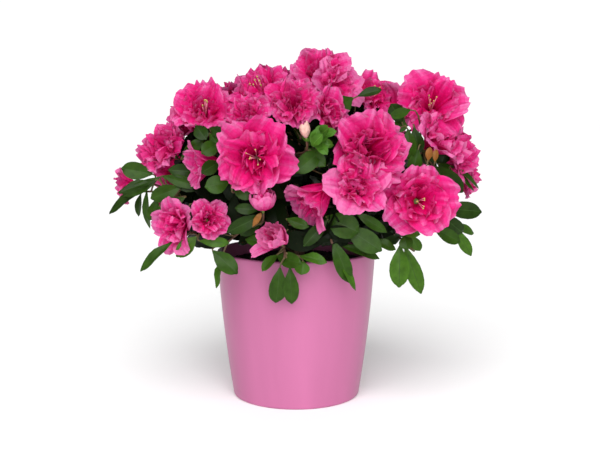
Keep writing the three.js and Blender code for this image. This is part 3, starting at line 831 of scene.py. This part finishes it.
def in_crown(point):
    """Whether a point lies where the leaves of the rule may reach."""
    back = min(max((point[1] + REACH_DEPTH) / (2 * REACH_DEPTH), 0), 1)
    reach = FRONT_REACH + (BACK_REACH - FRONT_REACH) * back
    lowest = BACK_LOWEST if point[1] > REACH_DEPTH else FRONT_LOWEST
    return np.linalg.norm((point - CROWN_MIDDLE) / CROWN_HALF) < reach and point[2] > lowest


def pick_tone(dice):
    # A random tone: painted shade, plain green or painted light.
    draw = dice.random()
    return "shaded" if draw < SHADED_SHARE else "green" if draw < SHADED_SHARE + GREEN_SHARE else "lit"


def whorl_of_leaves(pile, room, centre, axis, opening, count, length, dice):
    """Leaves round an axis, an opening in degrees off it, where there is room for them."""
    # Whorls deep in the dome get the darkest tint, painted shade of the crown's inside.
    inner = np.linalg.norm((centre - CROWN_MIDDLE) / CROWN_HALF) < SHADED_DEPTH
    tone = "shaded" if inner else pick_tone(dice)
    side, up = square_to(axis)
    start = dice.uniform(0, 2 * pi)
    for k in range(count):
        outward = around(start + 2 * pi * k / count + dice.uniform(-0.3, 0.3), side, up)
        way, upper = opened(axis, outward, opening + dice.uniform(-16, 16))
        long = length * dice.uniform(0.75, 1.15)
        tip = centre + way * long
        if room.holds([centre + way * long * 0.5, tip]) and in_crown(tip):
            level = unit(upper + 0.2 * dice.normal(size=3))
            leaf(pile, centre + outward * 0.6, way, level, long, long * LEAF_WIDTH, tone, dice)


def rule_leaves(pile, room, shoot):
    """The leaves that the rule gives a shoot, and more of them between those."""
    axis, draw, dice = shoot["facing"], shoot["draw"], shoot["dice"]
    side, up = square_to(axis)
    young = shoot["form"] == "pale"
    for k in range(3 * shoot["whorls"]):
        whorl = k // 3
        angle = 2 * pi * (k % 3 + 0.5) / 3 - whorl * pi / 3
        outward = around(angle, side, up)
        opening = OPENING[shoot["kind"]] - whorl * OPENING_STEP + OPENING_SPREAD * (draw() - 0.5)
        way, upper = opened(axis, outward, opening)
        upper = upper + 0.5 * (draw() - 0.5) * np.cross(way, outward)
        length = LEAF_LENGTH * (0.8 + 0.4 * draw()) * (0.45 if young else 1)
        root = shoot["foot"] + axis * LEAF_STEP * (whorl + 0.75) + outward * KNOB_RADIUS / 2
        tip = root + way * length
        if room.holds([root + way * length * 0.5, tip]) and (young or in_crown(tip)):
            tone = "young" if young else pick_tone(dice)
            leaf(pile, root, way, upper, length, length * LEAF_WIDTH, tone, dice)
    for whorl in range(shoot["whorls"]):
        centre = shoot["foot"] + axis * LEAF_STEP * (whorl + 0.4)
        opening = OPENING[shoot["kind"]] + 4 - whorl * OPENING_STEP
        whorl_of_leaves(pile, room, centre, axis, opening, MORE_LEAVES, LEAF_LENGTH, dice)
    if young:
        young_leaves(pile, shoot["foot"] + axis * 2, dice)


def young_leaves(pile, centre, dice):
    """Tufts of small pale leaves to the right of a bud."""
    for offset in YOUNG_TUFTS:
        for _ in range(YOUNG_LEAVES):
            lean = unit(np.array([0.5, -0.6, 0.6]) + 0.6 * dice.normal(size=3))
            upper = np.array([0, -1, 0.3]) - 0.4 * lean
            leaf(pile, centre + np.array(offset), lean, upper, YOUNG_LENGTH, YOUNG_WIDTH, "young", dice)


def side_twigs(twigs, leaves, room, shoot):
    """Side twigs along a shoot's twig, each with a whorl of leaves and two leaves on its way."""
    dice = shoot["dice"]
    for k in range(SIDE_TWIGS):
        share = 0.3 + 0.6 * (k + dice.uniform(0, 0.8)) / SIDE_TWIGS
        start = shoot["curve"].point(share)
        ahead = shoot["curve"].way(share)
        side, up = square_to(ahead)
        outward = around(dice.uniform(0, 2 * pi), side, up)
        aim = unit(ahead * 0.5 + outward + 0.5 * unit(start - CROWN_MIDDLE))
        end = start + aim * SIDE_LENGTH * dice.uniform(0.7, 1.2)
        if not (room.holds([end, (start + end) / 2]) and in_crown(end)):
            continue
        curve = Curve(start, unit(ahead + outward), end, aim)
        tube(twigs, curve.points(5), np.linspace(SIDE_RADIUS, SIDE_TIP_RADIUS, 6), 5, "young_bark")
        whorl_of_leaves(leaves, room, end, aim, 62, SIDE_LEAVES, LEAF_LENGTH * 0.95, dice)
        whorl_of_leaves(leaves, room, curve.point(0.6), aim, 70, 2, LEAF_LENGTH * 0.85, dice)


def seen_leaf(twigs, leaves, samples, row, dice, tone=None):
    """A leaf of the photograph on a thin twig of its own from the nearest twig of the rule. A scale has its
    tone given, and is no wider than it looks."""
    *pixels, foot_depth, tip_depth, shown = row
    foot, tip = seen(pixels[:2], foot_depth), seen(pixels[2:], tip_depth)
    start, group = min(samples, key=lambda sample: np.linalg.norm(sample[0] - foot))
    way = unit(tip - foot)
    curve = Curve(start, unit(foot - start + np.array([0, 0, 2])), foot, way)
    tube(twigs[group], curve.points(6), np.linspace(TWIG_TIP_RADIUS, 0.6, 7), 6, "young_bark")
    width = shown if tone else max(shown, NARROWEST_SEEN)
    flat = unit(CAMERA_PLACE - foot)
    flat = unit(flat - way * np.dot(flat, way))
    roll = acos(min(shown / width, 1)) * (1 if flat[2] > -0.3 else -1)
    aside = sin(roll) * np.cross(way, flat)
    upper = cos(roll) * flat + aside
    if upper[2] < -0.2:
        upper = cos(roll) * flat - aside
    draw = dice.random()
    # Painted light: low leaves mostly the brightest tint, higher ones the lit tint or else plain green.
    if not tone and foot[2] < BRIGHTLY_LIT_BELOW:
        tone = "brightly_lit" if draw < BRIGHTLY_LIT_SHARE else "lit"
    elif not tone:
        tone = "lit" if draw < LIT_SHARE else "green"
    length = np.linalg.norm(tip - foot) * 1.04
    leaf(leaves[group], foot - way, way, upper, length, width, tone, dice)


# Pot, soil, trunk and boughs.


def pot_radius(height):
    share = height / POT_HEIGHT
    return POT_FOOT_RADIUS + (POT_TOP_RADIUS - POT_FOOT_RADIUS) * share + 4 * POT_BELLY * share * (1 - share)


def quarter(radius, height, rounding, start, end):
    """Points of a quarter round in a profile, from one angle in degrees to another."""
    angles = np.radians(np.linspace(start, end, ROUNDING_STEPS))
    return [(radius + rounding * cos(a), height + rounding * sin(a)) for a in angles]


def turned(pile, profile, turns, tint, shift=None):
    """A closed turned body from a profile of radius and height that starts and ends on the axis."""
    angles = 2 * pi * np.arange(turns) / turns
    rings = []
    for radius, height in profile[1:-1]:
        level = np.full(turns, float(height))
        ring = np.stack([radius * np.cos(angles), radius * np.sin(angles), level], axis=1)
        rings.append(ring if shift is None else shift(ring))
    points = [[[0, 0, profile[0][1]]], *rings, [[0, 0, profile[-1][1]]]]
    faces = []
    last = 1 + turns * len(rings)
    for k in range(turns):
        after = (k + 1) % turns
        faces.append((0, 1 + after, 1 + k))
        faces.append((last, last - turns + k, last - turns + after))
        for ring in range(len(rings) - 1):
            low, high = 1 + ring * turns, 1 + (ring + 1) * turns
            faces.append((low + k, low + after, high + after, high + k))
    pile.add(np.concatenate(points), faces, tint)


def pot():
    rim = POT_HEIGHT - RIM_ROUNDING
    rise = np.linspace(FOOT_ROUNDING, rim, 26)[1:-1]
    corner = POT_FLOOR + CORNER_ROUNDING
    fall = np.linspace(rim, corner, 14)[1:-1]
    profile = [
        (0, 0),
        (0.5 * POT_FOOT_RADIUS, 0),
        *quarter(pot_radius(FOOT_ROUNDING) - FOOT_ROUNDING, FOOT_ROUNDING, FOOT_ROUNDING, -90, 0),
        *[(pot_radius(height), height) for height in rise],
        *quarter(pot_radius(rim) - RIM_ROUNDING, rim, RIM_ROUNDING, 0, 90),
        *quarter(pot_radius(rim) - POT_WALL + RIM_ROUNDING, rim, RIM_ROUNDING, 90, 180),
        *[(pot_radius(height) - POT_WALL, height) for height in fall],
        *quarter(pot_radius(POT_FLOOR) - POT_WALL - CORNER_ROUNDING, corner, CORNER_ROUNDING, 0, -90),
        (0, POT_FLOOR),
    ]
    pile = Pile(["glaze"])
    turned(pile, profile, POT_SIDES, "glaze")
    return pile


def soil():
    inward = POT_WALL + SOIL_GAP
    edge = POT_HEIGHT - SOIL_BELOW_RIM
    bottom = POT_FLOOR + CLEARANCE
    top = edge + SOIL_MOUND
    inside = pot_radius(edge) - inward
    heights = np.linspace(bottom + 5, edge, 8)
    shares = np.linspace(1, 0.05, 22)[1:]
    profile = [
        (0, bottom),
        (pot_radius(bottom) - inward - CORNER_ROUNDING, bottom),
        *[(pot_radius(height) - inward, height) for height in heights],
        *[(inside * share, top - SOIL_MOUND * share ** 3) for share in shares],
        (0, top),
    ]

    def rough(ring):
        if ring[0, 2] >= edge + 0.01:
            for point in ring:
                bump = SOIL_ROUGHNESS * noise.fractal(Vector(point * 0.11), 1.0, 2.0, 4)
                point[2] += min(bump, SOIL_HIGHEST_BUMP)
        return ring

    pile = Pile(["peat", "crumb"])
    turned(pile, profile, SOIL_SIDES, "peat", rough)
    dice = np.random.default_rng(7)
    for _ in range(CRUMBS):
        reach = inside * 0.95 * sqrt(dice.random())
        angle = dice.uniform(0, 2 * pi)
        if reach < 1.6 * TRUNK_RADIUS * ROOT_FLARE:
            continue
        height = top - SOIL_MOUND * (reach / inside) ** 3
        foot = np.array([reach * np.cos(angle), reach * np.sin(angle), height + 0.4])
        lean = unit(dice.normal(size=3)) * dice.uniform(0.6, 1.8)
        radii = np.array([0.4, 1, 0.9, 0.4]) * dice.uniform(0.6, 1.5)
        tint = "crumb" if dice.random() < 0.5 else "peat"
        tube(pile, [foot + lean * share for share in (-1, -0.5, 0.5, 1)], radii, 5, tint)
    return pile


def bark_limb(pile, point_at, radius_at, sides, steps, relief):
    """A limb whose bark stands up in ridges along it."""
    rings = []
    for k, (point, side, up) in enumerate(frames_along([point_at(k / steps) for k in range(steps + 1)])):
        ring = []
        for turn in range(sides):
            outward = around(2 * pi * turn / sides, side, up)
            ridge = 1 - abs(noise.fractal(Vector(point * 0.12 + outward * 2.2), 1.0, 2.0, 3)) * 2
            ring.append(point + outward * radius_at(k / steps) * (1 - relief + relief * ridge))
        rings.append(ring)
    add_rings(pile, rings, sides, "bark")


# Materials.


def linear(colour):
    return [(c / 255 / 12.92) if c <= 10 else ((c / 255 + 0.055) / 1.055) ** 2.4 for c in colour]


def add_node(tree, kind, **sockets):
    made = tree.nodes.new(f"ShaderNode{kind}")
    set_sockets(tree, made, sockets)
    return made


def set_sockets(tree, node, sockets):
    """Gives sockets of a node their values, or joins them to what another node puts out."""
    for name, value in sockets.items():
        socket = node.inputs[name.replace("_", " ")]
        if isinstance(value, bpy.types.NodeSocket):
            tree.links.new(value, socket)
        else:
            socket.default_value = value


def material(name, colour, roughness, spread, grain, bump, fine=1.0, stretch=1.0, through=0.0, **shader):
    """A plain colour that varies by a noise of the given grain in metres, with a bump of a finer grain. A
    stretch under 1 draws the noise out along Z, and a share of the light may glow through."""
    made = bpy.data.materials.new(name)
    made.use_nodes = True
    tree = made.node_tree
    place = add_node(tree, "TexCoord").outputs["Object"]
    drawn_out = add_node(tree, "Mapping", Vector=place, Scale=(1, 1, stretch)).outputs["Vector"]
    pattern = add_node(tree, "TexNoise", Vector=drawn_out, Scale=1 / grain, Detail=5)
    ramp = add_node(tree, "ValToRGB", Fac=pattern.outputs["Fac"])
    base = linear(colour)
    for element, position, share in zip(ramp.color_ramp.elements, RAMP_ENDS, (1 - spread, 1 + spread)):
        element.position = position
        element.color = [*[min(c * share, 1) for c in base], 1]
    paint = ramp.outputs["Color"]
    relief = add_node(tree, "TexNoise", Vector=place, Scale=fine / grain, Detail=6)
    raised = add_node(tree, "Bump", Height=relief.outputs["Fac"], Strength=0.6, Distance=bump)
    normal = raised.outputs["Normal"]
    principled = tree.nodes["Principled BSDF"]
    set_sockets(tree, principled, {"Base Color": paint, "Normal": normal, "Roughness": roughness, **shader})
    if through:
        glow = add_node(tree, "BsdfTranslucent", Color=paint, Normal=normal)
        both = add_node(tree, "MixShader", Fac=through)
        tree.links.new(principled.outputs["BSDF"], both.inputs[1])
        tree.links.new(glow.outputs["BSDF"], both.inputs[2])
        tree.links.new(both.outputs["Shader"], tree.nodes["Material Output"].inputs["Surface"])
    return made


def petal_colour(step):
    key_steps = np.linspace(0, PETAL_STEPS - 1, len(PETAL_KEYS))
    return [np.interp(step, key_steps, channel) for channel in zip(*PETAL_KEYS)]


def make_materials():
    made = {}
    for step, name in enumerate(PETAL_NAMES):
        colour = petal_colour(step)
        made[name] = material(name, colour, *PETAL_LOOK, through=PETAL_GLOW, Specular_IOR_Level=PETAL_SHINE)
    # Leaf materials, among them the copies of painted shade and painted light.
    for name, colour in LEAF_TINTS.items():
        shine = SHADED_SHINE if name == "shaded" else LEAF_SHINE
        made[name] = material(f"leaf_{name}", colour, *LEAF_LOOK, Specular_IOR_Level=shine)
    for name, colour in RIB_TINTS.items():
        made[name] = material(f"leaf_{name}", colour, *RIB_LOOK, Specular_IOR_Level=RIB_SHINE)
    for name, (colour, *look) in PLAIN_LOOKS.items():
        made[name] = material(name, colour, *look)
    shine = {"Specular_IOR_Level": GLAZE_SHINE, "Coat_Weight": GLAZE_COAT}
    made["glaze"] = material("glaze", GLAZE_COLOUR, *GLAZE_LOOK, stretch=GLAZE_STRETCH, **shine)
    return made


# Stage.


def add_light(name, kind, towards):
    light = add_object(name, bpy.data.lights.new(name, kind))
    light.rotation_euler = Vector(towards).to_track_quat("-Z", "Y").to_euler()
    return light


def stage():
    mesh = bpy.data.meshes.new("floor")
    corners = [(x * FLOOR_REACH, y * FLOOR_REACH, 0) for x, y in ((-1, -1), (1, -1), (1, 1), (-1, 1))]
    mesh.from_pydata(corners, [], [(0, 1, 2, 3)])
    mesh.materials.append(material("floor_paint", *FLOOR_LOOK))
    floor = add_object("floor", mesh)
    studio_walls()
    key = add_light("key", "SUN", -heading(KEY_TURN, KEY_LIFT))
    key.data.energy = KEY_STRENGTH
    key.data.angle = radians(KEY_SPREAD)
    fill = add_light("fill", "AREA", Vector(FILL_AIM) - Vector(FILL_PLACE))
    fill.location = FILL_PLACE
    fill.data.size = FILL_SIZE
    fill.data.energy = FILL_POWER
    bpy.context.scene.view_settings.view_transform = "Standard"


def studio_walls():
    """A world that is white behind the plant, grey before it and darker to both sides."""
    world = bpy.data.worlds.new("studio")
    world.use_nodes = True
    tree = world.node_tree
    way = add_node(tree, "SeparateXYZ", Vector=add_node(tree, "TexCoord").outputs["Generated"])
    aside = add_node(tree, "Math", Value=way.outputs["X"])
    aside.operation = "ABSOLUTE"
    walls = fade(tree, aside.outputs["Value"], SIDE_FADE, FRONT_WALL, SIDE_WALL)
    walls = fade(tree, way.outputs["Y"], BACK_FADE, walls, BACK_WALL)
    set_sockets(tree, tree.nodes["Background"], {"Color": (1, 1, 1, 1), "Strength": walls})
    bpy.context.scene.world = world


def fade(tree, value, ends, first, last):
    """What eases from a first value to a last one while another value goes from end to end."""
    low, high = ends
    made = add_node(tree, "MapRange", Value=value, From_Min=low, From_Max=high, To_Min=first, To_Max=last)
    made.interpolation_type = "SMOOTHSTEP"
    return made.outputs["Result"]


def camera():
    data = bpy.data.cameras.new("camera")
    data.sensor_width = SENSOR_WIDTH
    data.lens = FOCAL_PIXELS / PHOTO_WIDTH * SENSOR_WIDTH
    made = add_object("camera", data)
    made.location = CAMERA_PLACE * MM
    made.rotation_euler = (radians(90 - CAMERA_DOWN), 0, 0)
    bpy.context.scene.camera = made


# The plant.


def spaced(blooms):
    """The blossom, with what the rule added made smaller or left out where another stands in its way."""
    kept = []
    for shoot in blooms:
        if shoot["number"] >= len(FRONT_BLOOMS) + len(FRONT_BUDS):
            gaps = [np.linalg.norm(shoot["place"] - other["place"]) - 0.4 * other["size"] for other in kept]
            room = min(gaps) / (0.4 * shoot["size"])
            if room < 0.6:
                shoot["kind"], shoot["form"] = "leaves", None
                continue
            if room < 1:
                shoot["size"] *= room
                shoot["base"] = base_of(shoot)
        kept.append(shoot)
    return kept


def grow_shoot(shoot, twigs, leaves, petals, room):
    """Adds a shoot's twig, blossom and leaves, and returns the points of the twig's outer part."""
    line = shoot["curve"].points(12) + [shoot["base"]]
    radii = list(np.linspace(TWIG_RADIUS, TWIG_TIP_RADIUS, 13)) + [TWIG_TIP_RADIUS]
    tube(twigs, line, radii, 6, "twig_bark")
    if shoot["kind"] != "leaves":
        blossom(petals, shoot)
    rule_leaves(leaves, room, shoot)
    side_twigs(twigs, leaves, room, shoot)
    return line[3:]


def crown(masses, materials):
    """The twigs, the leaves and the blossom of each group of masses, each kind in a piece of its own."""
    shoots = crown_shoots()
    blooms = spaced([s for s in shoots if s["kind"] != "leaves"])
    grow_twigs(masses, shoots)
    room = Room(blooms)
    twigs = {group: Pile(["twig_bark", "young_bark"]) for group in GROUPS}
    leaves = {group: Pile([*LEAF_TINTS, *RIB_TINTS]) for group in GROUPS}
    petals = {group: Pile([*PETAL_NAMES, "calyx", "filament", "anther"]) for group in GROUPS}
    for mass in masses:
        radii = np.linspace(BOUGH_TIP_RADIUS, TWIG_RADIUS, 7)
        tube(twigs[mass["group"]], stem_curve(mass).points(6), radii, 8, "twig_bark")
    samples = []
    for shoot in shoots:
        group = shoot["mass"]["group"]
        outer = grow_shoot(shoot, twigs[group], leaves[group], petals[group], room)
        samples += [(point, group) for point in outer]
    dice = np.random.default_rng(5)
    for row in SEEN_LEAVES:
        seen_leaf(twigs, leaves, samples, row, dice)
    for row in SEEN_SCALES:
        seen_leaf(twigs, leaves, samples, row, dice, "scale")
    for group in GROUPS:
        nodes = [f"foliage_{mass['name']}" for mass in masses if mass["group"] == group]
        for kind, piles in (("twigs", twigs), ("leaves", leaves), ("blossom", petals)):
            piece = piles[group].piece(f"{kind}_{group}", materials)
            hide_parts(*nodes)


def trunk(materials):
    pile = Pile(["bark"])
    bark_limb(pile, trunk_point, trunk_radius, *TRUNK_BARK)
    piece = pile.piece("trunk_bark", materials)
    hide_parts("trunk")


def bough_radius(share):
    return BOUGH_RADIUS + (BOUGH_TIP_RADIUS - BOUGH_RADIUS) * share


def boughs(masses, materials):
    pile = Pile(["bark"])
    for mass in masses:
        bark_limb(pile, bough_curve(mass).point, bough_radius, *BOUGH_BARK)
    piece = pile.piece("bough_bark", materials)
    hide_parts(*[f"bough_{mass['name']}" for mass in masses])


materials = make_materials()
camera()
stage()
vessel = pot().piece("pot_glazed", materials)
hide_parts("pot")
ground = soil().piece("soil_peat", materials)
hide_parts("soil")
masses = crown_masses()
crown(masses, materials)
trunk(materials)
boughs(masses, materials)
